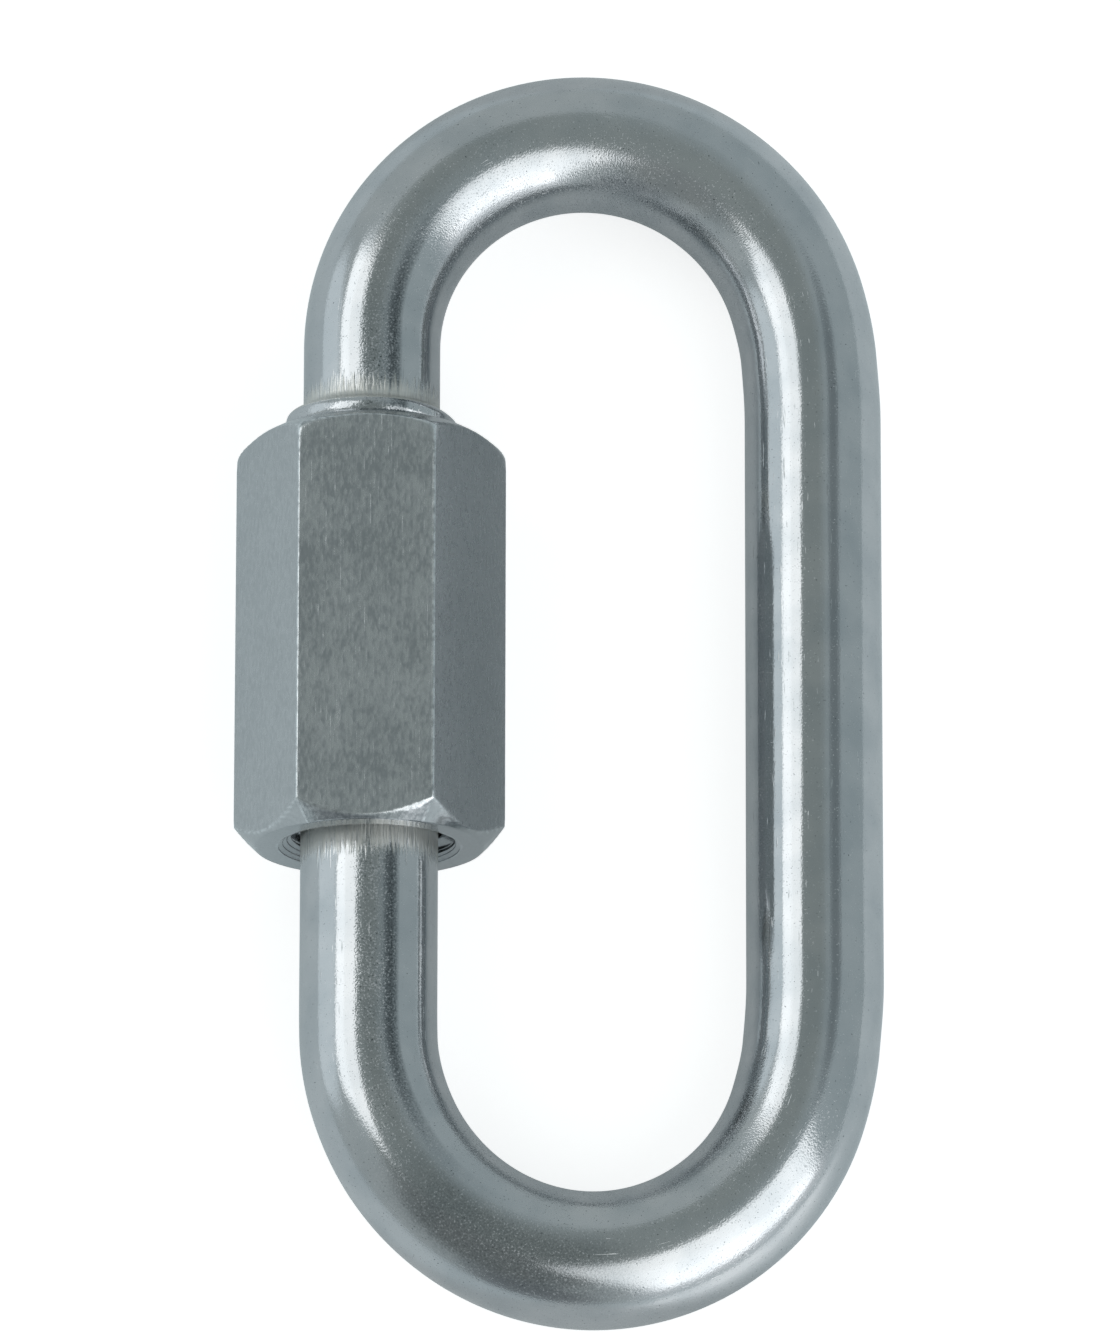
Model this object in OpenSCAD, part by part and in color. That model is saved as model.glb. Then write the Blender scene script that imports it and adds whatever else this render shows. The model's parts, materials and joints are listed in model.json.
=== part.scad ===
// Chain quick link: an oval loop of round steel rod, open in one long side,
// whose two threaded ends are bridged by a hexagonal sleeve nut.
// The link lies as it comes to rest on a table, on one flat of the nut and on the plain leg.
// Millimetres, +Z up, +Y along the loop, origin at the bottom centre of the bounding box.

/* [Loop] */
// Diameter of the round rod
rod_d = 8; // [7:0.5:9]
// Clear length inside the loop
inner_length = 59.5; // [57:0.5:72]
// Clear width inside the loop
inner_width = 18; // [16:0.5:22]

/* [Threaded ends] */
// How far the thickened ends stand proud of the rod, all round
upset = 0.9; // [0.8:0.05:1.1]
// Pitch of the thread
thread_pitch = 1.25; // [1:0.05:1.35]
// Straight plain rod between the upper bend and the stop collar
neck_length = 3.85; // [2.5:0.05:5]
// Height of the stop collar with its rounded shoulder
collar_height = 1.95; // [1.5:0.05:2.2]
// Length of the upper threaded end, below its collar
upper_thread_length = 4.45; // [3.5:0.05:6]
// Gap between the two threaded ends
gate_gap = 9; // [8:0.25:10]
// Length of the lower threaded end
lower_thread_length = 8.5; // [7:0.25:9]
// Chamfer at the tip of each threaded end
tip_chamfer = 0.5; // [0.3:0.05:0.7]

/* [Sleeve nut] */
// Width across the flats
nut_across_flats = 13.7; // [13.5:0.1:15]
// Length of the nut
nut_length = 24.7; // [23:0.1:26]
// Diameter of the flat ring at the upper end
upper_face_d = 12.1; // [11.8:0.1:12.8]
// Slope of the domed upper end, from its end face
upper_slope = 31; // [25:1:35]
// Radius that rounds the corners of the upper end
upper_round = 0.5; // [0.3:0.1:1.5]
// Diameter of the flat ring at the lower end
lower_face_d = 13.3; // [12.6:0.1:13.5]
// Slope of the plain cone at the lower end, from its end face
lower_slope = 44; // [40:1:52]
// Depth of the countersink at each mouth
mouth_depth = 0.75; // [0.6:0.05:0.9]
// Turns by which the nut is run down to open the gate
nut_turns = 0; // [0:1:11]

/* [Fits] */
// Clearance all round between the thread of the rod and the thread of the nut
thread_clearance = 0.05; // [0.03:0.01:0.1]
// Clearance between the stop collar and its seat in the nut, along the axis
seat_clearance = 0.1; // [0.05:0.05:0.2]

/* [Hidden] */
$fn = 96;

// Depth of a 60 degree thread from its crest to its mean cylinder, per unit of pitch
mean_thread_depth = 0.325;

// The loop, seen in its own plane with the gate leg on the left
rod_r = rod_d / 2;
leg_x = inner_width / 2 + rod_r;
bend_y = (inner_length - inner_width) / 2;

// The threads are drawn as their mean cylinders
upset_r = rod_r + upset;
thread_r = upset_r - mean_thread_depth * thread_pitch;
bore_r = thread_r + thread_clearance;
mouth_r = bore_r + mouth_depth;

// Places along the gate leg, from the upper bend down
collar_top = bend_y - neck_length;
collar_bottom = collar_top - collar_height;
nut_top = collar_bottom + mouth_r - upset_r - seat_clearance;
nut_bottom = nut_top - nut_length;
upper_tip = collar_bottom - upper_thread_length;
lower_tip = upper_tip - gate_gap;
lower_thread_end = lower_tip - lower_thread_length;

// The nut's hexagon
upper_face_r = upper_face_d / 2;
lower_face_r = lower_face_d / 2;
nut_corner_r = nut_across_flats / 2 / cos(30);

// At rest the nut's flat and the plain leg both lie on the table
rest_tilt = asin((nut_across_flats - rod_d) / 2 / (2 * leg_x));
rest_x = (nut_corner_r - rod_r) / 2;
rest_z = (nut_across_flats / 2 + rod_r) / 2;

// Turns the loop's own plane down onto the table
module at_rest() {
    translate([rest_x, 0, rest_z])
        rotate([0, rest_tilt, 0])
            children();
}

// Stands a shape that was drawn along Z on the axis of the gate leg
module on_gate_axis() {
    translate([-leg_x, 0, 0])
        rotate([-90, 0, 0])
            children();
}

// Half a turn of rod, over the upper end of the loop
module bend() {
    translate([0, bend_y, 0])
        rotate_extrude(angle = 180)
            translate([leg_x, 0])
                circle(r = rod_r);
}

// Straight rod on the right of the loop, from the upper bend down
module straight(length) {
    translate([leg_x, bend_y, 0])
        rotate([90, 0, 0])
            cylinder(r = rod_r, h = length);
}

// Half section of the upper thickened end: rounded collar, run-out cone, thread and tip
module upper_end_section() {
    polygon([
        [0, upper_tip],
        [thread_r - tip_chamfer, upper_tip],
        [thread_r, upper_tip + tip_chamfer],
        [thread_r, collar_bottom - upset_r + thread_r],
        [upset_r, collar_bottom],
        [upset_r, collar_top - upset],
        [0, collar_top - upset]
    ]);
    translate([rod_r, collar_top - upset])
        circle(r = upset);
}

// Half section of the lower thickened end: tip, thread and run-out cone
module lower_end_section() {
    polygon([
        [0, lower_tip],
        [thread_r - tip_chamfer, lower_tip],
        [thread_r, lower_tip - tip_chamfer],
        [thread_r, lower_thread_end],
        [0, lower_thread_end - thread_r]
    ]);
}

module link_body() {
    color("silver") {
        bend();
        rotate([0, 0, 180])
            bend();
        straight(2 * bend_y);
        mirror([1, 0, 0])
            straight(bend_y - collar_bottom);
        rotate([0, 0, 180])
            straight(bend_y + lower_thread_end);
        on_gate_axis()
            rotate_extrude()
                upper_end_section();
        on_gate_axis()
            rotate_extrude()
                lower_end_section();
    }
}

// Half section that turns the ends of the hexagon: a dome above and a cone below
module nut_turned_section() {
    round_r = nut_corner_r - upper_round;
    dome_r = round_r + upper_round * sin(upper_slope);
    dome_z = nut_top - (dome_r - upper_face_r) * tan(upper_slope);
    round_z = dome_z - upper_round * cos(upper_slope);
    polygon([
        [0, nut_bottom],
        [lower_face_r, nut_bottom],
        [nut_corner_r, nut_bottom + (nut_corner_r - lower_face_r) * tan(lower_slope)],
        [nut_corner_r, round_z],
        [round_r, round_z],
        [dome_r, dome_z],
        [upper_face_r, nut_top],
        [0, nut_top]
    ]);
    translate([round_r, round_z])
        intersection() {
            circle(r = upper_round);
            square(upper_round);
        }
}

// Half section of the bore, with a countersunk mouth at each end
module nut_bore_section() {
    polygon([
        [0, nut_bottom],
        [mouth_r, nut_bottom],
        [bore_r, nut_bottom + mouth_depth],
        [bore_r, nut_top - mouth_depth],
        [mouth_r, nut_top],
        [0, nut_top]
    ]);
}

module sleeve_nut() {
    run_down = nut_turns * thread_pitch;
    color("lightgray")
        translate([0, -run_down, 0])
            on_gate_axis()
                rotate([0, 0, -rest_tilt - nut_turns * 360])
                    difference() {
                        intersection() {
                            translate([0, 0, nut_bottom])
                                cylinder(r = nut_corner_r, h = nut_length, $fn = 6);
                            rotate_extrude()
                                nut_turned_section();
                        }
                        rotate_extrude()
                            nut_bore_section();
                    }
}

at_rest() link_body();
at_rest() sleeve_nut();
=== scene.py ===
"""Chain quick link: a zinc-plated steel loop, closed by a hexagonal sleeve nut, lying on a white table."""
import json
import math

import bpy
import numpy as np
from bpy.props import FloatProperty, FloatVectorProperty, PointerProperty
from mathutils import Matrix, Vector


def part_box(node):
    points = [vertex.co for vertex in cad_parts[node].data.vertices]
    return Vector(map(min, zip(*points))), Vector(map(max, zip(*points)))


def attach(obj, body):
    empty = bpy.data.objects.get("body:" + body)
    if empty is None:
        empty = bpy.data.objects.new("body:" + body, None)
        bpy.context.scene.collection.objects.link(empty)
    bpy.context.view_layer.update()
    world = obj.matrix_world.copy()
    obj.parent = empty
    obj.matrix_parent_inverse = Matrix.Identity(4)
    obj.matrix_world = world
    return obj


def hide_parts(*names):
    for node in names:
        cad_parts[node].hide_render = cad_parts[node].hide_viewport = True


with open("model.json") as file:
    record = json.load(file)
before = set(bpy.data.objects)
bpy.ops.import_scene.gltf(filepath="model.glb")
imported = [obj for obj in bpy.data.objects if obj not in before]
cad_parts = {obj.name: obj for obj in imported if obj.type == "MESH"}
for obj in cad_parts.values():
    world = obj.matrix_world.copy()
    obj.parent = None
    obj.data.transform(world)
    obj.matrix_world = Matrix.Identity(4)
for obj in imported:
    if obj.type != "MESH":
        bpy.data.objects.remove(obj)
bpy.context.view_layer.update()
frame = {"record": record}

bl_info = {
    "name": "Chain quick link",
    "version": (1, 0, 0),
    "blender": (4, 5, 0),
    "location": "3D View > Sidebar > Quick link",
    "description": "Builds a zinc-plated chain quick link and the table that it lies on",
    "category": "Object",
}

MM = 0.001

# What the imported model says: the loop's saddles, the nut's middle, the link's far end and the nut's box.
# Its meshes are faceted, so the rod's diameter is rounded to a tenth of a millimetre.
MOUNTS = {mount["name"]: Vector(mount["pos_m"]) for mount in frame["record"]["mounts"]}
LINK_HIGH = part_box("link_body")[1]
NUT_LOW, NUT_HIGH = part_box("sleeve_nut")
UPPER_BOW = MOUNTS["upper_bow"]
LOWER_BOW = MOUNTS["lower_bow"]
NUT_CENTRE = MOUNTS["spanner_flats"]
LOOP_CENTRE = (UPPER_BOW + LOWER_BOW) / 2
ROD_DIAMETER = round(LINK_HIGH.y - UPPER_BOW.y, 4)
LEG_RISE = NUT_CENTRE.z - ROD_DIAMETER / 2
LEG_SPACING = math.hypot(2 * (LOOP_CENTRE.x - NUT_CENTRE.x), LEG_RISE)

# A 60 degree thread, in shares of its pitch, and of a turn for where it starts round the leg
THREAD_CREST = 1 / 8
THREAD_ROOT = 1 / 4
THREAD_FLANK = (1 - THREAD_CREST - THREAD_ROOT) / 2
THREAD_DEPTH = THREAD_FLANK / math.tan(math.radians(30))
THREAD_START = 1 / 2

# The nut's flats, and the angle from one to the next
SIDES = 6
SECTOR = math.radians(60)

# How fine the bar's mesh is: points round it, and rings along its parts and in one turn of its thread
RING_SEGMENTS = 96
THREAD_STEPS = 22
NECK_RINGS = 8
BEND_RINGS = 96
LEG_RINGS = 80
GATE_RINGS = 24

# How fine the nut's mesh is: columns on each flat and ridge, and rows along its parts and in one turn
FLAT_COLUMNS = 16
RIDGE_COLUMNS = 12
TURNED_ROWS = 50
ROUNDED_ROWS = 24
SIDE_ROWS = 46
FACE_ROWS = 8
MOUTH_ROWS = 40
BORE_STEPS = 13


def linear(code):
    """Linear RGB of an sRGB colour written as six hex digits."""
    channels = [int(code[at:at + 2], 16) / 255 for at in (0, 2, 4)]
    return tuple(c / 12.92 if c <= 0.04045 else ((c + 0.055) / 1.055) ** 2.4 for c in channels)


def length(name, description, default):
    """A length property, in metres."""
    return FloatProperty(name=name, description=description, default=default, min=0, precision=5,
                         subtype="DISTANCE", unit="LENGTH")


def angle(name, description, degrees):
    """An angle property, stored in radians."""
    return FloatProperty(name=name, description=description, default=math.radians(degrees),
                         subtype="ANGLE", unit="ROTATION")


def colour(name, description, default):
    """A colour property, whose default is written as sRGB hex."""
    return FloatVectorProperty(name=name, description=description, default=linear(default), size=3,
                               min=0, max=1, subtype="COLOR")


class LinkSizes(bpy.types.PropertyGroup):
    """Sizes of the loop and of its threaded ends."""

    rod_diameter: length("Rod diameter", "Diameter of the round bar", ROD_DIAMETER)
    inner_length: length("Inner length", "Clear length inside the loop", UPPER_BOW.y - LOWER_BOW.y)
    leg_spacing: length("Leg spacing", "Distance between the axes of the two legs", LEG_SPACING)
    upset: length("Upset", "How far the thickened ends stand proud of the rod", 0.9 * MM)
    thread_pitch: length("Thread pitch", "Rise of the thread in one turn", 1.25 * MM)
    neck_length: length("Neck", "Plain rod between the upper bend and the collar", 4.05 * MM)
    collar_height: length("Collar height", "Height of the stop collar", 1.75 * MM)
    bead: length("Bead", "How far the rounded collar stands proud of the rod", 1.02 * MM)
    bead_rise: length("Bead rise", "Height of the collar's rounded upper side", 0.68 * MM)
    upper_thread: length("Upper thread", "Length of the upper threaded end", 4.45 * MM)
    gate_gap: length("Gate gap", "Gap between the two threaded ends", 9 * MM)
    lower_thread: length("Lower thread", "Length of the lower threaded end", 8.5 * MM)
    tip_chamfer: length("Tip chamfer", "Chamfer at the tip of each threaded end", 0.9 * MM)
    upper_squeeze: length("Upper squeeze", "How far the plain leg closes in at the upper bow", 0.4 * MM)
    lower_squeeze: length("Lower squeeze", "How far the plain leg closes in at the lower bow", 0.46 * MM)
    gate_squeeze: length("Gate squeeze", "How far the gate leg closes in at the lower bow", 0.15 * MM)


class NutSizes(bpy.types.PropertyGroup):
    """Sizes of the sleeve nut."""

    across_flats: length("Across flats", "Width across the flats", NUT_HIGH.z - NUT_LOW.z)
    upper_face: length("Upper face", "Diameter of the flat ring at the upper end", 12.1 * MM)
    upper_slope: angle("Upper slope", "Slope of the domed upper end", 29)
    upper_round: length("Upper rounding", "Radius that rounds the corners of the dome", 0.9 * MM)
    lower_face: length("Lower face", "Diameter of the flat ring at the lower end", 13.3 * MM)
    lower_slope: angle("Lower slope", "Slope of the plain cone at the lower end", 44)
    mouth_diameter: length("Mouth diameter", "Diameter of the countersink at each end", 10.5875 * MM)
    lower_mouth: length("Lower mouth", "Depth at which the lower countersink meets the thread", 0.75 * MM)
    tool_mark: length("Tool marks", "Depth of the turned grooves in the lower countersink", 0.12 * MM)
    tool_feed: length("Tool feed", "Spacing of the turned grooves in the lower countersink", 0.19 * MM)
    ridge_radius: length("Ridge radius", "Rounding of the long edges of the hexagon", 0.14 * MM)
    edge_softness: length("Edge softness", "Rounding where the turned ends cut the flats", 0.12 * MM)
    thread_clearance: length("Thread clearance", "Room between the two threads", 0.06 * MM)


class ZincFinish(bpy.types.PropertyGroup):
    """Colours of the zinc plating."""

    rod: colour("Rod zinc", "Bright zinc on the round bar", "c8cacc")
    rod_cloud: colour("Rod cloud", "Duller zinc in soft clouds on the round bar", "bbbfc2")
    frost: colour("Frosted rings", "Matt zinc where jaws gripped the bar", "dad9d4")
    nut: colour("Nut zinc", "Bright zinc on the hexagon bar", "c9ccce")
    nut_cloud: colour("Nut cloud", "Duller zinc in soft clouds and flecks on the nut", "9ca1a4")
    # Painted shade in the pits, also used for the painted dark reflections on the bar
    painted_dark: colour("Pits", "Small dark pits in the plating", "5e6467")
    # Also painted as a glint along the lower mouth's rim
    worn: colour("Worn edges", "Edges that are rubbed bright", "dfe3e5")


class StudioSettings(bpy.types.PropertyGroup):
    """The table, the light and the camera."""

    paper: colour("Paper", "Colour of the table's white paper", "d0d0d0")
    camera_elevation: angle("Camera elevation", "Height of the camera above the table", 74.5)
    camera_side: angle("Camera side", "How far the camera stands to the right", 1.27)
    camera_roll: angle("Camera roll", "Turn of the camera about its own axis", -0.09)
    camera_distance: length("Camera distance", "From the camera to the loop's plane", 696.3 * MM)
    focal_length: FloatProperty(name="Focal length", description="Focal length of the lens",
                                default=320.1, min=1, unit="CAMERA")


class QuickLink(bpy.types.PropertyGroup):
    """All settings of the quick link."""

    link: PointerProperty(type=LinkSizes)
    nut: PointerProperty(type=NutSizes)
    zinc: PointerProperty(type=ZincFinish)
    studio: PointerProperty(type=StudioSettings)


def add_node(tree, kind, settings=None, values=None, links=None):
    """Adds a node with its own settings, socket values and the sockets that feed it."""
    node = tree.nodes.new(kind)
    for name, value in (settings or {}).items():
        setattr(node, name, value)
    for socket, value in (values or {}).items():
        node.inputs[socket].default_value = value
    for socket, source in (links or {}).items():
        tree.links.new(source, node.inputs[socket])
    return node


def new_material(name):
    """An empty node material."""
    material = bpy.data.materials.new(name)
    material.use_nodes = True
    material.node_tree.nodes.clear()
    return material


def thread_radius(height, turn, crest_radius, pitch):
    """Radius of a right-hand thread at a height along the gate axis and an angle about it."""
    phase = height / pitch - turn / (2 * math.pi) + THREAD_START
    off_crest = np.abs(phase - np.round(phase))
    share = np.clip((off_crest - THREAD_CREST / 2) / THREAD_FLANK, 0, 1)
    return crest_radius - THREAD_DEPTH * pitch * share


def grid_mesh(name, points, open_ends):
    """A closed mesh from a grid of points, whose columns run round.
    Its rows run from one flat capped end to the other, or round as well. All but the caps is smooth."""
    rows, columns = points.shape[:2]
    vertices = points.reshape(-1, 3)
    last = rows - 1 if open_ends else rows
    row = np.arange(last)[:, None]
    column = np.arange(columns)[None, :]
    above = (row + 1) % rows
    beside = (column + 1) % columns
    faces = np.stack([row * columns + column, above * columns + column,
                      above * columns + beside, row * columns + beside], axis=-1).reshape(-1, 4)
    faces = faces.tolist()
    if open_ends:
        first_cap = len(vertices)
        vertices = np.concatenate([vertices, points[[0, -1]].mean(axis=1)])
        top = (rows - 1) * columns
        for at in range(columns):
            following = (at + 1) % columns
            faces.append([first_cap, at, following])
            faces.append([first_cap + 1, top + following, top + at])
    mesh = bpy.data.meshes.new(name)
    mesh.from_pydata(vertices.tolist(), [], faces)
    mesh.polygons.foreach_set("use_smooth", [len(face) > 3 for face in faces])
    return mesh


def add_piece(name, mesh, material, body, node):
    """Puts a finished mesh into the scene in place of its CAD node."""
    mesh.materials.append(material)
    piece = bpy.data.objects.new(name, mesh)
    bpy.context.scene.collection.objects.link(piece)
    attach(piece, body)
    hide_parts(node)


def collar_levels(sizes):
    """Heights along the gate axis: bend, collar top and bottom, both tips and the lower thread's end."""
    rod = sizes.rod_diameter / 2
    bend = sizes.inner_length / 2 - (sizes.leg_spacing / 2 - rod)
    collar_top = bend - sizes.neck_length
    collar_bottom = collar_top - sizes.collar_height
    upper_tip = collar_bottom - sizes.upper_thread
    lower_tip = upper_tip - sizes.gate_gap
    return bend, collar_top, collar_bottom, upper_tip, lower_tip, lower_tip - sizes.lower_thread


# How far round its lower side the collar's bead is rounded, as the sine of that angle
BEAD_UNDERCUT = 0.85

# How full the bead's upper side is, as the power of its curve: 2 is round, and less is nearer to a slope.
# It is fuller by the second value on the outer side of the loop, and less full by it on the inner side.
BEAD_POWER = 2.1
BEAD_POWER_CHANGE = 0.9


def upper_end_radius(sizes, height, turn, side):
    """Radius of the upper end: chamfered tip, thread, run-out cone and the collar, a round bead.
    Its upper side is full on the outer side of the loop and a plain slope on the inner side."""
    _, collar_top, collar_bottom, tip, _, _ = collar_levels(sizes)
    rod = sizes.rod_diameter / 2
    crest = rod + sizes.upset
    body = thread_radius(height, turn, crest, sizes.thread_pitch)
    body = np.maximum(body, crest - (collar_bottom - height))
    body = np.minimum(body, crest - sizes.tip_chamfer + (height - tip))
    widest = collar_top - sizes.bead_rise
    above = np.clip((height - widest) / sizes.bead_rise, 0, 1)
    below = np.clip((widest - height) / sizes.bead, 0, BEAD_UNDERCUT)
    power = BEAD_POWER + BEAD_POWER_CHANGE * np.cos(side)
    upper = (1 - above ** power) ** (1 / power)
    lower = np.sqrt(1 - below ** 2)
    bead = rod + sizes.bead * np.where(height > widest, upper, lower)
    return np.where(height > collar_bottom, bead, body)


def lower_end_radius(sizes, height, turn):
    """Radius of the lower end: plain rod, run-out cone, thread and chamfered tip."""
    _, _, _, _, tip, thread_end = collar_levels(sizes)
    rod = sizes.rod_diameter / 2
    crest = rod + sizes.upset
    body = thread_radius(height, turn, crest, sizes.thread_pitch)
    body = np.minimum(body, crest - (thread_end - height))
    body = np.maximum(body, rod)
    return np.minimum(body, crest - sizes.tip_chamfer + (tip - height))


def smooth(value):
    """Eases a value from 0 to 1."""
    share = np.clip(value, 0, 1)
    return share * share * (3 - 2 * share)


# Where the bent bar starts to close in, measured from the middle of the loop, and over what length
BOW_START = 17 * MM
GATE_BOW_START = 19 * MM
BOW_EASE = 7.3 * MM


def bow_squeeze(sizes, x, y):
    """How far the bent bar lies to the left of an even loop: its legs close in a little at the bows."""
    on_plain_leg = smooth(x / sizes.leg_spacing + 0.5)
    plain = smooth((np.abs(y) - BOW_START) / BOW_EASE)
    plain = plain * np.where(y > 0, sizes.upper_squeeze, sizes.lower_squeeze)
    gate = smooth((-y - GATE_BOW_START) / BOW_EASE) * sizes.gate_squeeze
    return on_plain_leg * plain - (1 - on_plain_leg) * gate


def loop_tilt(sizes):
    """How far the loop leans, because the nut lifts the gate leg off the table."""
    return math.asin(LEG_RISE / sizes.leg_spacing)


def link_rings(sizes):
    """The rod's rings from the upper tip round the loop to the lower tip:
    centres and outward directions in the loop's plane, and a radius for each ring and side."""
    bend, collar_top, _, upper_tip, lower_tip, thread_end = collar_levels(sizes)
    half = sizes.leg_spacing / 2
    rod = sizes.rod_diameter / 2
    step = sizes.thread_pitch / THREAD_STEPS
    side = np.linspace(0, 2 * math.pi, RING_SEGMENTS, endpoint=False)[None, :]
    turn = side - math.pi / 2 + loop_tilt(sizes)

    upper = np.concatenate([np.arange(upper_tip, collar_top, step),
                            np.linspace(collar_top, bend, NECK_RINGS, endpoint=False)])[:, None]
    bow = np.linspace(0, math.pi, BEND_RINGS, endpoint=False)
    leg = np.linspace(bend, -bend, LEG_RINGS, endpoint=False)
    run_out = thread_end - sizes.upset
    lower = np.concatenate([np.linspace(-bend, run_out, GATE_RINGS, endpoint=False),
                            np.arange(run_out, lower_tip, step), [lower_tip]])[:, None]

    plain = np.full((1, RING_SEGMENTS), rod)
    parts = [
        (np.full(len(upper), -half), upper[:, 0], np.full(len(upper), math.pi),
         upper_end_radius(sizes, upper, turn, side)),
        (-half * np.cos(bow), bend + half * np.sin(bow), math.pi - bow, np.repeat(plain, len(bow), 0)),
        (np.full(len(leg), half), leg, np.zeros(len(leg)), np.repeat(plain, len(leg), 0)),
        (half * np.cos(bow), -bend - half * np.sin(bow), -bow, np.repeat(plain, len(bow), 0)),
        (np.full(len(lower), -half), lower[:, 0], np.full(len(lower), math.pi),
         lower_end_radius(sizes, lower, turn)),
    ]
    x, y, heading, radius = (np.concatenate(column) for column in zip(*parts))
    x = x - bow_squeeze(sizes, x, y)
    return np.stack([x, y], axis=1), heading, side, radius


# Length of bar above the collar and below the nut over which the matt rings fade out
GRIP_LENGTH = 2.1 * MM

# A ring is on the gate leg when its centre lies this far out, as a share of the leg's own distance
ON_GATE = 0.999

# The bows' pits: how quickly they set in at a bend, how many there are all round, how many more there are
# on the inner side, and how quickly that side sets in
BEND_PITS_ONSET = 1.6
BOW_PITS = 0.22
INNER_PITS = 0.38
INNER_PITS_ONSET = 1.4

# Pits along the top of the gate leg and on the collar
BAND_PITS = 0.75
COLLAR_PITS = 0.4

# How dark the painted dark reflections are, put in the zinc's colour where the bar reflects darker parts of
# the room:
# a line and a band along the gate leg, and a patch on the lower bow
PAINTED_LINE_DARKNESS = 0.95
PAINTED_BAND_DARKNESS = 0.3
PAINTED_PATCH_DARKNESS = 0.62

# Where these lie round the bar, in degrees from the outer side of the loop over its top:
# the middle, how far from it they are full, and over what angle they then fade.
# The last of these gives the same along the loop, by the way that the bar's outer side faces.
PITTED_BAND = (89, 10, 8)
PAINTED_REFLECTION_LINE = (105.5, 2.5, 5)
PAINTED_REFLECTION_BAND = (92, 9, 6)
PAINTED_PATCH_BAND = (69, 14, 26)
PAINTED_PATCH_ON_BOW = (-113, 15, 28)

# How sharply what lies along the gate leg ends where the bar bends
LEG_END = 4


def band(turn, middle, full, fade):
    """1 in a band of angles, easing to 0 at its edges. The band is in degrees."""
    off = np.abs(turn - math.radians(middle)) - math.radians(full)
    return 1 - smooth(off / math.radians(fade))


def gate_leg(heading):
    """1 on the gate leg, falling to 0 round the bows."""
    return np.clip(-np.cos(heading), 0, 1)[:, None] ** LEG_END


def gripped_share(sizes, centre):
    """How matt each ring was left by the jaws that upset the ends:
    on the collar and just above it, and below the nut."""
    _, collar_top, _, _, _, _ = collar_levels(sizes)
    height = centre[:, 1]
    above = np.where(height < collar_top - sizes.bead_rise / 2, 0,
                     1 - smooth((height - collar_top) / GRIP_LENGTH))
    below = 1 - smooth((NUT_LOW.y - height) / GRIP_LENGTH)
    on_gate = centre[:, 0] < -sizes.leg_spacing / 2 * ON_GATE
    return np.where(on_gate, np.where(height > 0, above, below), 0)[:, None]


def pitted_share(sizes, centre, heading, side):
    """How pitted the bar is: most on its inner side where it was bent,
    in a band along the top of the gate leg, and on the collar."""
    _, collar_top, collar_bottom, _, _, _ = collar_levels(sizes)
    bent = np.clip(BEND_PITS_ONSET * np.abs(np.sin(heading)), 0, 1)[:, None]
    inside = BOW_PITS + INNER_PITS * np.clip(-INNER_PITS_ONSET * np.cos(side), 0, 1)
    on_top = BAND_PITS * gate_leg(heading) * band(side, *PITTED_BAND)
    collar = ((centre[:, 1] < collar_top) & (centre[:, 1] > collar_bottom)
              & (centre[:, 0] < 0))[:, None]
    return np.maximum(np.maximum(bent * inside, on_top), COLLAR_PITS * collar)


def painted_reflection_share(heading, side):
    """How dark the painted dark reflections are: in a band along the gate leg, with a darker line at its
    side, and in a patch on the lower bow, where the bar reflects darker parts of the room."""
    along_gate = np.maximum(PAINTED_LINE_DARKNESS * band(side, *PAINTED_REFLECTION_LINE), PAINTED_BAND_DARKNESS * band(side, *PAINTED_REFLECTION_BAND))
    patch = band(heading, *PAINTED_PATCH_ON_BOW)[:, None] * band(side, *PAINTED_PATCH_BAND)
    return np.maximum(gate_leg(heading) * along_gate, PAINTED_PATCH_DARKNESS * patch)


def link_body_mesh(sizes):
    """The bent bar as one closed mesh, with each point's place in the bar before it was bent."""
    centre, heading, side, radius = link_rings(sizes)
    out = radius * np.cos(side)
    up = radius * np.sin(side)
    flat = np.stack([centre[:, :1] + out * np.cos(heading)[:, None],
                     centre[:, 1:] + out * np.sin(heading)[:, None], up], axis=-1)
    mesh = grid_mesh("link_body_bar", flat[:, ::-1], True)
    mesh.transform(Matrix.Translation(LOOP_CENTRE) @ Matrix.Rotation(loop_tilt(sizes), 4, "Y"))

    steps = np.linalg.norm(np.diff(centre, axis=0), axis=1)
    along = np.concatenate([[0], np.cumsum(steps)])[:, None] + np.zeros_like(out)
    bar = np.stack([out, along, up], axis=-1)[:, ::-1]
    bar = np.concatenate([bar.reshape(-1, 3), bar[[0, -1]].mean(axis=1)]) / MM
    mesh.attributes.new("bar_mm", "FLOAT_VECTOR", "POINT").data.foreach_set("vector", bar.ravel())

    # The third share places painted dark reflections; the others are the bar's own state.
    shares = {"gripped": gripped_share(sizes, centre) + np.zeros_like(out),
              "pitted": pitted_share(sizes, centre, heading, side),
              "painted_reflection": painted_reflection_share(heading, side),
              "bent": np.abs(np.sin(heading))[:, None] + np.zeros_like(out)}
    for name, share in shares.items():
        values = np.concatenate([share[:, ::-1].ravel(), [0, 0]])
        mesh.attributes.new(name, "FLOAT", "POINT").data.foreach_set("value", values)
    return mesh


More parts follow.
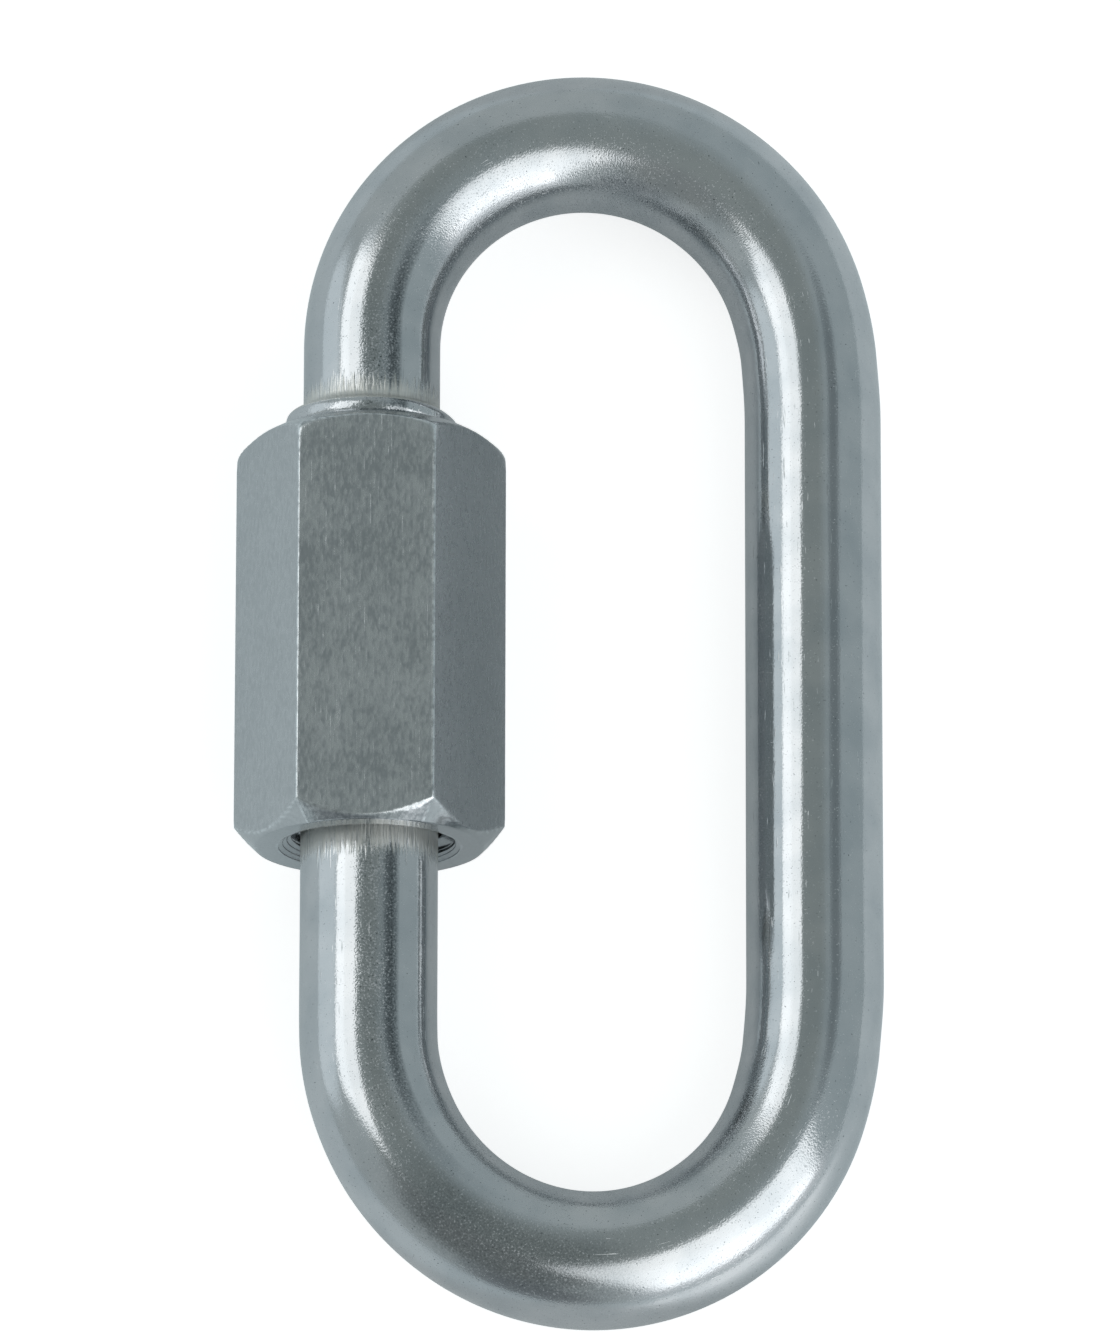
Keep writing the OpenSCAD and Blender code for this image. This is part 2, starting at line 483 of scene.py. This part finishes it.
def hexagon_columns(sizes):
    """Angles of the nut's columns about its axis, the hexagon's radius at each and its share of a ridge."""
    apothem = sizes.across_flats / 2
    ridge = sizes.ridge_radius
    corner = (apothem - ridge) / math.cos(SECTOR / 2)
    edge = math.atan((apothem - ridge) * math.tan(SECTOR / 2) / apothem)
    flat = edge * np.sin(np.linspace(-math.pi / 2, math.pi / 2, FLAT_COLUMNS, endpoint=False))
    bend = np.linspace(edge, SECTOR - edge, RIDGE_COLUMNS, endpoint=False)
    on_flat = apothem / np.cos(flat)
    off = np.abs(bend - SECTOR / 2)
    on_bend = corner * np.cos(off) + np.sqrt(ridge ** 2 - (corner * np.sin(off)) ** 2)
    one = np.concatenate([flat, bend])
    angles = np.concatenate([one + SECTOR * side for side in range(SIDES)])
    radius = np.tile(np.concatenate([on_flat, on_bend]), SIDES)
    worn = np.tile(np.concatenate([np.zeros_like(flat), np.ones_like(bend)]), SIDES)
    return angles, radius, worn


def turned_profile(sizes):
    """Radius and height of the turned outline, from the upper face over dome and cone to the lower face."""
    upper_face = sizes.upper_face / 2
    lower_face = sizes.lower_face / 2
    corner = sizes.across_flats / 2 / math.cos(SECTOR / 2)
    rounding = sizes.upper_round
    slope = sizes.upper_slope
    round_centre = corner - rounding
    dome = round_centre + rounding * math.sin(slope)
    drop = (dome - upper_face) * math.tan(slope)
    cone = np.linspace(upper_face, dome, TURNED_ROWS, endpoint=False)
    sweep = np.linspace(math.pi / 2 - slope, 0, ROUNDED_ROWS)
    top_r = np.concatenate([cone, round_centre + rounding * np.cos(sweep)])
    top_y = np.concatenate([-(cone - upper_face) * math.tan(slope),
                            -drop - rounding * math.cos(slope) + rounding * np.sin(sweep)])
    low_r = np.linspace(corner, lower_face, TURNED_ROWS)
    low_y = (low_r - lower_face) * math.tan(sizes.lower_slope)
    # Between the turned ends the outline stays clear of the hexagon
    beyond = corner + 2 * sizes.edge_softness
    side_y = np.linspace(NUT_HIGH.y + top_y[-1], NUT_LOW.y + low_y[0], SIDE_ROWS)[1:-1]
    radius = np.concatenate([top_r, np.full(len(side_y), beyond), low_r])
    height = np.concatenate([NUT_HIGH.y + top_y, side_y, NUT_LOW.y + low_y])
    return radius, height


# How mottled the other flats are, against the flat that lies uppermost, and how cloudy their even tone is.
# Their lesser mottling is the nut's own; their even tone is lighter, painted light that brightens their dim
# reflections.
SIDE_MOTTLING = 0.25
SIDE_PAINTED_LIGHT_TONE = 0.26


def sleeve_nut_mesh(sizes, link):
    """The nut as one closed mesh: hexagon with turned ends, end faces, countersunk mouths and thread."""
    angles, hexagon, worn = hexagon_columns(sizes)
    profile, outer_y = turned_profile(sizes)
    soft = sizes.edge_softness
    over = hexagon[None, :] - profile[:, None]
    gap = np.clip(soft - np.abs(over), 0, None)
    outer = np.minimum(hexagon[None, :], profile[:, None]) - gap ** 2 / (4 * soft)

    mouth = sizes.mouth_diameter / 2
    upper_ring = np.linspace(sizes.upper_face / 2, mouth, FACE_ROWS)[1:-1]
    lower_ring = np.linspace(sizes.lower_face / 2, mouth, FACE_ROWS)[1:-1]
    mouth_end = NUT_LOW.y + sizes.lower_mouth
    bore_rows = round((NUT_HIGH.y - mouth_end) / link.thread_pitch * BORE_STEPS)
    bore_y = np.concatenate([np.linspace(NUT_LOW.y, mouth_end, MOUTH_ROWS, endpoint=False),
                             np.linspace(mouth_end, NUT_HIGH.y, bore_rows)])
    crest = link.rod_diameter / 2 + link.upset + sizes.thread_clearance
    minor = crest - THREAD_DEPTH * link.thread_pitch
    bore = thread_radius(bore_y[:, None], angles[None, :], crest, link.thread_pitch)
    upper_mouth = mouth - (NUT_HIGH.y - bore_y)
    deep = bore_y - NUT_LOW.y
    lower_mouth = (mouth - deep * (mouth - minor) / sizes.lower_mouth
                   + sizes.tool_mark * np.sin(math.pi * deep / sizes.tool_feed) ** 2)
    bore = np.maximum(bore, np.maximum(upper_mouth, lower_mouth)[:, None])

    ones = np.ones_like(hexagon)[None, :]
    radius = np.concatenate([outer, lower_ring[:, None] * ones, bore, upper_ring[::-1, None] * ones])
    height = np.concatenate([outer_y, np.full(len(lower_ring), NUT_LOW.y), bore_y,
                             np.full(len(upper_ring), NUT_HIGH.y)])[:, None]
    points = np.stack([NUT_CENTRE.x + radius * np.sin(angles), height + np.zeros_like(radius),
                       NUT_CENTRE.z + radius * np.cos(angles)], axis=-1)
    mesh = grid_mesh("sleeve_nut_hexagon", points, False)
    turned = np.ones_like(radius)
    turned[:len(outer)] = np.clip(over / soft + 0.5, 0, 1)
    edge = np.zeros_like(radius)
    edge[:len(outer)] = np.maximum(worn, gap / soft)
    # The lower mouth's rim is marked as an edge: its nicks, and the worn colour as a painted glint along its
    # lip
    painted_glint_rim = len(outer) + len(lower_ring)
    edge[painted_glint_rim] = 1
    # The uppermost flat is fully mottled; the others less, and they take a lighter tone that is painted light
    front = np.abs((angles + math.pi) % (2 * math.pi) - math.pi) < SECTOR / 2
    mottled = np.where(front, 1, SIDE_MOTTLING) * ones + np.zeros_like(radius)
    for name, share in (("turned", turned), ("edge", edge), ("mottled", mottled)):
        mesh.attributes.new(name, "FLOAT", "POINT").data.foreach_set("value", share.ravel())
    return mesh


# Patterns of the plated surfaces, in millimetres: their size, or their width across the bar and run along it.
# Grain and pits are really finer, and drawn as coarse as they need to be to show.
GRAIN_MM = 0.11
PATCH_MM = 5.0
CLOUD_MM = 2.6
DRAW_LINE_MM = (0.25, 9.0)
STREAK_MM = (0.14, 1.6)
FLECK_MM = (0.2, 0.5)
SCRATCH_MM = (0.09, 5.0)
NICK_MM = 0.4

# Depths of these patterns, in millimetres: of the grain on bright and on pitted bar,
# and of the flecks on the nut's flats and on its turned ends
GRAIN_DEPTH = (0.003, 0.02)
DRAW_LINE_DEPTH = 0.004
STREAK_DEPTH = 0.05
FLECK_DEPTH = (0.014, 0.001)
SCRATCH_DEPTH = 0.002
NICK_DEPTH = 0.008

# Roughness: of the bar where it is bright and where it is cloudy, what a bend adds, of dull rings and specks,
# of the nut where it is bright and where it is flecked, and of its turned ends
ROD_ROUGHNESS = (0.08, 0.13)
BEND_ROUGHNESS = 0.08
DULL_ROUGHNESS = 0.5
NUT_ROUGHNESS = (0.22, 0.36)
TURNED_ROUGHNESS = 0.13


def along_bar(tree, place, width_and_run, detail):
    """Noise that is drawn out along the bar: its width across the bar and its run along it."""
    width, run = width_and_run
    stretched = add_node(tree, "ShaderNodeVectorMath", {"operation": "MULTIPLY"},
                         {1: (1 / width, 1 / run, 1 / width)}, {0: place})
    return add_node(tree, "ShaderNodeTexNoise", values={"Scale": 1, "Detail": detail},
                    links={"Vector": stretched.outputs[0]}).outputs["Fac"]


def rod_material(zinc):
    """Zinc-plated steel: drawn round bar that was upset in jaws, bent and tumbled."""
    # To the eye it is a dark mirror with crisp reflections. Small pits grain it inside the bows and along the
    # gate leg, with painted shade in them, painted dark reflections darken it in places, and the jaws left
    # dull streaked rings.
    material = new_material("zinc_plated_steel_tumbled_bar")
    tree = material.node_tree
    bar = add_node(tree, "ShaderNodeAttribute", {"attribute_name": "bar_mm"}).outputs["Vector"]
    bent = add_node(tree, "ShaderNodeAttribute", {"attribute_name": "bent"}).outputs["Fac"]
    gripped = add_node(tree, "ShaderNodeAttribute", {"attribute_name": "gripped"}).outputs["Fac"]
    pitted = add_node(tree, "ShaderNodeAttribute", {"attribute_name": "pitted"}).outputs["Fac"]
    painted_reflection = add_node(tree, "ShaderNodeAttribute", {"attribute_name": "painted_reflection"}).outputs["Fac"]
    grain = add_node(tree, "ShaderNodeTexNoise", values={"Scale": 1 / GRAIN_MM, "Detail": 1},
                     links={"Vector": bar}).outputs["Fac"]
    patch = add_node(tree, "ShaderNodeTexNoise", values={"Scale": 1 / PATCH_MM, "Detail": 2},
                     links={"Vector": bar}).outputs["Fac"]
    cloud = add_node(tree, "ShaderNodeTexNoise", values={"Scale": 1 / CLOUD_MM, "Detail": 4},
                     links={"Vector": bar}).outputs["Fac"]
    line = along_bar(tree, bar, DRAW_LINE_MM, 3)
    streak = along_bar(tree, bar, STREAK_MM, 2)

    # How dense the pits are, which specks are dull and which pits get painted shade
    density = add_node(tree, "ShaderNodeMapRange", values={1: 0.3, 2: 0.65, 3: 0.35, 4: 1}, links={0: patch})
    density = add_node(tree, "ShaderNodeMath", {"operation": "MULTIPLY"},
                       links={0: pitted, 1: density.outputs[0]}).outputs[0]
    raised = add_node(tree, "ShaderNodeMath", {"operation": "MULTIPLY_ADD"}, {1: 0.2}, {0: density, 2: grain})
    speck = add_node(tree, "ShaderNodeMapRange", values={1: 0.68, 2: 0.76}, links={0: raised.outputs[0]})
    sunk = add_node(tree, "ShaderNodeMath", {"operation": "MULTIPLY_ADD"}, {1: -0.11}, {0: density, 2: grain})
    painted_dark = add_node(tree, "ShaderNodeMapRange", values={1: 0.27, 2: 0.21}, links={0: sunk.outputs[0]})

    # Painted dark reflections, grained like the pits
    painted_reflection_dark = add_node(tree, "ShaderNodeMapRange", values={1: 0.65, 2: 0.35, 3: 0.5, 4: 1}, links={0: grain})
    painted_reflection_dark = add_node(tree, "ShaderNodeMath", {"operation": "MULTIPLY"},
                     links={0: painted_reflection, 1: painted_reflection_dark.outputs[0]})
    # The pits' painted shade and the painted dark reflections together
    dark = add_node(tree, "ShaderNodeMath", {"operation": "MAXIMUM"},
                    links={0: painted_dark.outputs[0], 1: painted_reflection_dark.outputs[0]})

    # Dull rings, whose edges follow the streaks
    ragged = add_node(tree, "ShaderNodeMath", {"operation": "MULTIPLY_ADD"}, {1: 1.5},
                      {0: streak, 2: gripped})
    frost = add_node(tree, "ShaderNodeMapRange", values={1: 1.04, 2: 1.75, 4: 0.9},
                     links={0: ragged.outputs[0]})
    dull = add_node(tree, "ShaderNodeMath", {"operation": "MAXIMUM"},
                    links={0: speck.outputs[0], 1: frost.outputs[0]})

    strength = add_node(tree, "ShaderNodeMapRange", values={3: GRAIN_DEPTH[0], 4: GRAIN_DEPTH[1]},
                        links={0: density})
    height = add_node(tree, "ShaderNodeMath", {"operation": "MULTIPLY"},
                      links={0: grain, 1: strength.outputs[0]})
    height = add_node(tree, "ShaderNodeMath", {"operation": "MULTIPLY_ADD"}, {1: DRAW_LINE_DEPTH},
                      {0: line, 2: height.outputs[0]})
    deep = add_node(tree, "ShaderNodeMath", {"operation": "MULTIPLY"}, {1: STREAK_DEPTH},
                    {0: frost.outputs[0]})
    height = add_node(tree, "ShaderNodeMath", {"operation": "MULTIPLY_ADD"},
                      links={0: streak, 1: deep.outputs[0], 2: height.outputs[0]})
    bump = add_node(tree, "ShaderNodeBump", values={"Strength": 1, "Distance": MM},
                    links={"Height": height.outputs[0]})

    tone = add_node(tree, "ShaderNodeMapRange", values={1: 0.38, 2: 0.66}, links={0: cloud})
    base = add_node(tree, "ShaderNodeMix", {"data_type": "RGBA"},
                    {6: (*zinc.rod, 1), 7: (*zinc.rod_cloud, 1)}, {0: tone.outputs[0]})
    # Pits and painted dark reflections take this dark colour: painted shade
    base = add_node(tree, "ShaderNodeMix", {"data_type": "RGBA"}, {7: (*zinc.painted_dark, 1)},
                    {0: dark.outputs[0], 6: base.outputs[2]})
    base = add_node(tree, "ShaderNodeMix", {"data_type": "RGBA"}, {7: (*zinc.frost, 1)},
                    {0: frost.outputs[0], 6: base.outputs[2]})
    gloss = add_node(tree, "ShaderNodeMapRange",
                     values={1: 0.3, 2: 0.7, 3: ROD_ROUGHNESS[0], 4: ROD_ROUGHNESS[1]}, links={0: cloud})
    gloss = add_node(tree, "ShaderNodeMath", {"operation": "MULTIPLY_ADD"}, {1: BEND_ROUGHNESS},
                     {0: bent, 2: gloss.outputs[0]})
    gloss = add_node(tree, "ShaderNodeMix", {"data_type": "FLOAT"}, {3: DULL_ROUGHNESS},
                     {0: dull.outputs[0], 2: gloss.outputs[0]})
    shader = add_node(tree, "ShaderNodeBsdfPrincipled", values={"Metallic": 1},
                      links={"Base Color": base.outputs[2], "Roughness": gloss.outputs[0],
                             "Normal": bump.outputs[0]})
    add_node(tree, "ShaderNodeOutputMaterial", links={"Surface": shader.outputs[0]})
    return material


def nut_material(zinc):
    """Zinc-plated steel: drawn hexagon bar with turned ends."""
    # To the eye it is duller than the round bar, with flecks and faint scratches along its flats,
    # smoother turned faces, edges rubbed bright, and a painted glint along the lower mouth's rim.
    material = new_material("zinc_plated_steel_drawn_hexagon")
    tree = material.node_tree
    place = add_node(tree, "ShaderNodeTexCoord").outputs["Object"]
    place = add_node(tree, "ShaderNodeVectorMath", {"operation": "SCALE"}, {"Scale": 1 / MM},
                     {0: place}).outputs[0]
    edge = add_node(tree, "ShaderNodeAttribute", {"attribute_name": "edge"}).outputs["Fac"]
    turned = add_node(tree, "ShaderNodeAttribute", {"attribute_name": "turned"}).outputs["Fac"]
    mottled = add_node(tree, "ShaderNodeAttribute", {"attribute_name": "mottled"}).outputs["Fac"]
    cloud = add_node(tree, "ShaderNodeTexNoise", values={"Scale": 1 / CLOUD_MM, "Detail": 4},
                     links={"Vector": place}).outputs["Fac"]
    nick = add_node(tree, "ShaderNodeTexNoise", values={"Scale": 1 / NICK_MM, "Detail": 2},
                    links={"Vector": place}).outputs["Fac"]
    fleck = along_bar(tree, place, FLECK_MM, 3)
    scratch = along_bar(tree, place, SCRATCH_MM, 1)
    cut = add_node(tree, "ShaderNodeMapRange", values={1: 0.64, 2: 0.74}, links={0: scratch})

    strength = add_node(tree, "ShaderNodeMapRange", values={3: FLECK_DEPTH[0], 4: FLECK_DEPTH[1]},
                        links={0: turned})
    strength = add_node(tree, "ShaderNodeMath", {"operation": "MULTIPLY"},
                        links={0: strength.outputs[0], 1: mottled})
    height = add_node(tree, "ShaderNodeMath", {"operation": "MULTIPLY"},
                      links={0: fleck, 1: strength.outputs[0]})
    height = add_node(tree, "ShaderNodeMath", {"operation": "MULTIPLY_ADD"}, {1: -SCRATCH_DEPTH},
                      {0: cut.outputs[0], 2: height.outputs[0]})
    dent = add_node(tree, "ShaderNodeMath", {"operation": "MULTIPLY"}, {1: NICK_DEPTH}, {0: edge})
    height = add_node(tree, "ShaderNodeMath", {"operation": "MULTIPLY_ADD"},
                      links={0: nick, 1: dent.outputs[0], 2: height.outputs[0]})
    bump = add_node(tree, "ShaderNodeBump", values={"Strength": 1, "Distance": MM},
                    links={"Height": height.outputs[0]})

    tone = add_node(tree, "ShaderNodeMath", {"operation": "MULTIPLY_ADD"}, {1: 0.4},
                    {0: cloud, 2: fleck})
    tone = add_node(tree, "ShaderNodeMapRange", values={1: 0.55, 2: 0.86}, links={0: tone.outputs[0]})
    # The other flats take the lighter even tone: painted light
    tone = add_node(tree, "ShaderNodeMix", {"data_type": "FLOAT"}, {2: SIDE_PAINTED_LIGHT_TONE},
                    {0: mottled, 3: tone.outputs[0]})
    base = add_node(tree, "ShaderNodeMix", {"data_type": "RGBA"},
                    {6: (*zinc.nut, 1), 7: (*zinc.nut_cloud, 1)}, {0: tone.outputs[0]})
    # Rubbed bright edges, and the painted glint on the lower mouth's rim
    rubbed = add_node(tree, "ShaderNodeMapRange", values={1: 0.35, 2: 0.6}, links={0: nick})
    rubbed = add_node(tree, "ShaderNodeMath", {"operation": "MULTIPLY"},
                      links={0: edge, 1: rubbed.outputs[0]})
    base = add_node(tree, "ShaderNodeMix", {"data_type": "RGBA"}, {7: (*zinc.worn, 1)},
                    {0: rubbed.outputs[0], 6: base.outputs[2]})
    gloss = add_node(tree, "ShaderNodeMapRange",
                     values={1: 0.3, 2: 0.7, 3: NUT_ROUGHNESS[0], 4: NUT_ROUGHNESS[1]}, links={0: fleck})
    gloss = add_node(tree, "ShaderNodeMix", {"data_type": "FLOAT"}, {3: TURNED_ROUGHNESS},
                     {0: turned, 2: gloss.outputs[0]})
    shader = add_node(tree, "ShaderNodeBsdfPrincipled", values={"Metallic": 1},
                      links={"Base Color": base.outputs[2], "Roughness": gloss.outputs[0],
                             "Normal": bump.outputs[0]})
    add_node(tree, "ShaderNodeOutputMaterial", links={"Surface": shader.outputs[0]})
    return material


# How far the paper is lifted towards white where it is seen directly, and the cool light that it has
# besides its own where it is seen in the metal
PAPER_LIFT = 0.72
PAPER_IN_METAL = "6a777c"

# A painted pool of light on the paper where the front softbox would light it, seen only in the metal:
# its middle, where it is full and where it ends, and the light that the paper then has in the metal
PAINTED_POOL_MIDDLE = (35 * MM, -60 * MM, 0)
PAINTED_POOL_FULL = 16 * MM
PAINTED_POOL_END = 34 * MM
PAINTED_POOL_LIGHT = "d2d6d8"

# Painted shade on the paper inside the loop, seen only in the metal: how much of its light the paper keeps
# there, and where that shade starts and ends, measured across the loop from its middle
PAINTED_SHADE_LIGHT = 0.45
PAINTED_SHADE_FULL = 9 * MM
PAINTED_SHADE_END = 18 * MM


def paper_material(studio):
    """White seamless paper, matt."""
    # To the eye it is plain white without an edge, and it keeps the link's soft shadow.
    # In the metal it shows a cool light of its own, with a painted pool of light and painted shade inside the
    # loop.
    material = new_material("white_seamless_paper_painted_light")
    tree = material.node_tree
    ray = add_node(tree, "ShaderNodeLightPath")
    direct = add_node(tree, "ShaderNodeMath", {"operation": "MAXIMUM"},
                      links={0: ray.outputs["Is Camera Ray"], 1: ray.outputs["Is Transmission Ray"]})
    lift = add_node(tree, "ShaderNodeMath", {"operation": "MULTIPLY"}, {1: PAPER_LIFT},
                    {0: direct.outputs[0]})
    shader = add_node(tree, "ShaderNodeBsdfDiffuse", values={"Color": (*studio.paper, 1)})
    white = add_node(tree, "ShaderNodeEmission", links={"Strength": lift.outputs[0]})
    place = add_node(tree, "ShaderNodeTexCoord").outputs["Object"]
    # Painted pool of light where the front softbox would fall, seen only in the metal
    away = add_node(tree, "ShaderNodeVectorMath", {"operation": "DISTANCE"}, {1: PAINTED_POOL_MIDDLE}, {0: place})
    painted_pool = add_node(tree, "ShaderNodeMapRange", {"interpolation_type": "SMOOTHSTEP"},
                    {1: PAINTED_POOL_END, 2: PAINTED_POOL_FULL}, {0: away.outputs["Value"]})
    tint = add_node(tree, "ShaderNodeMix", {"data_type": "RGBA"},
                    {6: (*linear(PAPER_IN_METAL), 1), 7: (*linear(PAINTED_POOL_LIGHT), 1)}, {0: painted_pool.outputs[0]})
    # Painted shade inside the loop, on the light that only the metal sees
    across = add_node(tree, "ShaderNodeSeparateXYZ", links={0: place}).outputs["X"]
    across = add_node(tree, "ShaderNodeMath", {"operation": "ABSOLUTE"}, links={0: across})
    painted_shade = add_node(tree, "ShaderNodeMapRange", {"interpolation_type": "SMOOTHSTEP"},
                     {1: PAINTED_SHADE_FULL, 2: PAINTED_SHADE_END, 3: PAINTED_SHADE_LIGHT, 4: 1}, {0: across.outputs[0]})
    painted_shade = add_node(tree, "ShaderNodeMath", {"operation": "MULTIPLY"},
                     links={0: ray.outputs["Is Glossy Ray"], 1: painted_shade.outputs[0]})
    in_metal = add_node(tree, "ShaderNodeEmission",
                        links={"Color": tint.outputs[2], "Strength": painted_shade.outputs[0]})
    for glow in (white, in_metal):
        shader = add_node(tree, "ShaderNodeAddShader", links={0: shader.outputs[0], 1: glow.outputs[0]})
    add_node(tree, "ShaderNodeOutputMaterial", links={"Surface": shader.outputs[0]})
    return material


# Softboxes of the studio: azimuth from +X and elevation in degrees, width and height in metres,
# distance from the link, and how bright they look
SOFTBOXES = {
    "left_softbox": (160, 50.7, 0.47, 0.34, 0.6, 1.15),
    "front_softbox": (317.5, 37, 0.58, 0.64, 0.6, 1.17),
}

# The room's walls and ceiling, and where the ceiling starts and is full, as sines of the elevation
WALL = "b5bebf"
CEILING = "949d9c"
CEILING_START = 0.735
CEILING_FULL = 0.775

# Panels of the room round the table: azimuth and elevation in degrees, where the panel is full
# and where it ends, in degrees from its middle, and its colour
PANELS = {
    "right_wall": (20, 20, 33, 58, "aab6b9"),
    "camera_side": (246, 46, 15, 32, "8f9696"),
    "camera_low": (258, 9, 11, 23, "868d90"),
    "right_gap": (26, 52, 2, 12, "7e888b"),
    "front_bounce": (318, 6, 21, 35, "e4eaed"),
    "left_bounce": (165, 12, 18, 25, "e6f1f5"),
}


def direction(azimuth, elevation):
    """Unit vector towards a direction given in degrees."""
    turn = math.radians(azimuth)
    rise = math.radians(elevation)
    return Vector((math.cos(turn) * math.cos(rise), math.sin(turn) * math.cos(rise), math.sin(rise)))


def build_room():
    """The room's soft light: pale walls, a duller ceiling and a few darker or lighter panels."""
    world = bpy.data.worlds.new("studio_room")
    bpy.context.scene.world = world
    world.use_nodes = True
    tree = world.node_tree
    tree.nodes.clear()
    way = add_node(tree, "ShaderNodeTexCoord").outputs["Generated"]
    rise = add_node(tree, "ShaderNodeSeparateXYZ", links={0: way}).outputs["Z"]
    share = add_node(tree, "ShaderNodeMapRange", {"interpolation_type": "SMOOTHSTEP"},
                     {1: CEILING_START, 2: CEILING_FULL}, {0: rise})
    light = add_node(tree, "ShaderNodeMix", {"data_type": "RGBA"},
                     {6: (*linear(WALL), 1), 7: (*linear(CEILING), 1)}, {0: share.outputs[0]})
    for azimuth, elevation, full, end, tint in PANELS.values():
        facing = add_node(tree, "ShaderNodeVectorMath", {"operation": "DOT_PRODUCT"},
                          {1: direction(azimuth, elevation)}, {0: way})
        share = add_node(tree, "ShaderNodeMapRange", {"interpolation_type": "SMOOTHSTEP"},
                         {1: math.cos(math.radians(end)), 2: math.cos(math.radians(full))},
                         {0: facing.outputs["Value"]})
        light = add_node(tree, "ShaderNodeMix", {"data_type": "RGBA"}, {7: (*linear(tint), 1)},
                         {0: share.outputs[0], 6: light.outputs[2]})
    glow = add_node(tree, "ShaderNodeBackground", links={"Color": light.outputs[2]})
    add_node(tree, "ShaderNodeOutputWorld", links={"Surface": glow.outputs[0]})


def build_softboxes():
    """The two softboxes, aimed at the link."""
    for name, (azimuth, elevation, width, height, distance, brightness) in SOFTBOXES.items():
        light = bpy.data.lights.new(name, "AREA")
        light.shape = "RECTANGLE"
        light.size = width
        light.size_y = height
        light.energy = brightness * math.pi * width * height
        lamp = bpy.data.objects.new(name, light)
        way = direction(azimuth, elevation)
        lamp.location = LOOP_CENTRE + way * distance
        lamp.rotation_mode = "QUATERNION"
        lamp.rotation_quaternion = way.to_track_quat("Z", "Y")
        lamp.visible_camera = False
        bpy.context.scene.collection.objects.link(lamp)


# How far the camera's aim lies from the middle of the loop, across its view, and its sensor in millimetres
AIM_SHIFT = Vector((-1.885 * MM, 1.452 * MM))
SENSOR_WIDTH = 36

# The table's size in metres, and how far it lies below the link so that no two faces coincide
TABLE_SIZE = 6.0
TABLE_DROP = 0.02 * MM


def build_camera(studio):
    """The photograph's camera, nearly overhead and far away, with a long lens."""
    lean = math.pi / 2 - studio.camera_elevation
    turn = (Matrix.Rotation(studio.camera_side, 4, "Y") @ Matrix.Rotation(lean, 4, "X")
            @ Matrix.Rotation(-studio.camera_roll, 4, "Z"))
    data = bpy.data.cameras.new("photo_camera")
    data.lens = studio.focal_length
    data.sensor_fit = "AUTO"
    data.sensor_width = SENSOR_WIDTH
    data.clip_start = 0.01
    data.clip_end = 10
    camera = bpy.data.objects.new("photo_camera", data)
    bpy.context.scene.collection.objects.link(camera)
    offset = turn @ Vector((AIM_SHIFT.x, AIM_SHIFT.y, studio.camera_distance))
    camera.matrix_world = Matrix.Translation(LOOP_CENTRE + offset) @ turn
    bpy.context.scene.camera = camera


def build_table(studio):
    """The white paper under the link."""
    half = TABLE_SIZE / 2
    corners = [(-half, -half, 0), (half, -half, 0), (half, half, 0), (-half, half, 0)]
    mesh = bpy.data.meshes.new("table_paper")
    mesh.from_pydata(corners, [], [(0, 1, 2, 3)])
    mesh.materials.append(paper_material(studio))
    table = bpy.data.objects.new("table_paper", mesh)
    table.location.z = -TABLE_DROP
    bpy.context.scene.collection.objects.link(table)


class QUICKLINK_OT_link_body(bpy.types.Operator):
    """Builds the bent bar with its collar and threaded ends"""

    bl_idname = "quicklink.link_body"
    bl_label = "Link body"

    def execute(self, context):
        settings = context.scene.quick_link
        add_piece("link_body_bar", link_body_mesh(settings.link), rod_material(settings.zinc),
                  "link", "link_body")
        return {"FINISHED"}


class QUICKLINK_OT_sleeve_nut(bpy.types.Operator):
    """Builds the hexagonal sleeve nut with its thread"""

    bl_idname = "quicklink.sleeve_nut"
    bl_label = "Sleeve nut"

    def execute(self, context):
        settings = context.scene.quick_link
        add_piece("sleeve_nut_hexagon", sleeve_nut_mesh(settings.nut, settings.link),
                  nut_material(settings.zinc), "nut", "sleeve_nut")
        return {"FINISHED"}


class QUICKLINK_OT_stage(bpy.types.Operator):
    """Builds the table, the light and the camera"""

    bl_idname = "quicklink.stage"
    bl_label = "Stage"

    def execute(self, context):
        studio = context.scene.quick_link.studio
        context.scene.view_settings.view_transform = "Standard"
        build_table(studio)
        build_room()
        build_softboxes()
        build_camera(studio)
        return {"FINISHED"}


class QUICKLINK_PT_sidebar(bpy.types.Panel):
    """Lists the quick link's pieces and settings"""

    bl_idname = "QUICKLINK_PT_sidebar"
    bl_label = "Quick link"
    bl_space_type = "VIEW_3D"
    bl_region_type = "UI"
    bl_category = "Quick link"

    def draw(self, context):
        settings = context.scene.quick_link
        for group in (settings.link, settings.nut, settings.zinc, settings.studio):
            box = self.layout.box()
            for name in group.__annotations__:
                box.prop(group, name)
        for operator in OPERATORS:
            self.layout.operator(operator.bl_idname)


OPERATORS = (QUICKLINK_OT_link_body, QUICKLINK_OT_sleeve_nut, QUICKLINK_OT_stage)
CLASSES = (LinkSizes, NutSizes, ZincFinish, StudioSettings, QuickLink, *OPERATORS, QUICKLINK_PT_sidebar)


def register():
    """Registers the settings, operators and panel."""
    for made in CLASSES:
        bpy.utils.register_class(made)
    bpy.types.Scene.quick_link = PointerProperty(type=QuickLink)


def unregister():
    """Takes the settings, operators and panel out again."""
    del bpy.types.Scene.quick_link
    for made in reversed(CLASSES):
        bpy.utils.unregister_class(made)


def main():
    """Builds the stage and both pieces."""
    register()
    bpy.ops.quicklink.stage()
    bpy.ops.quicklink.link_body()
    bpy.ops.quicklink.sleeve_nut()


if __name__ == "__main__":
    main()
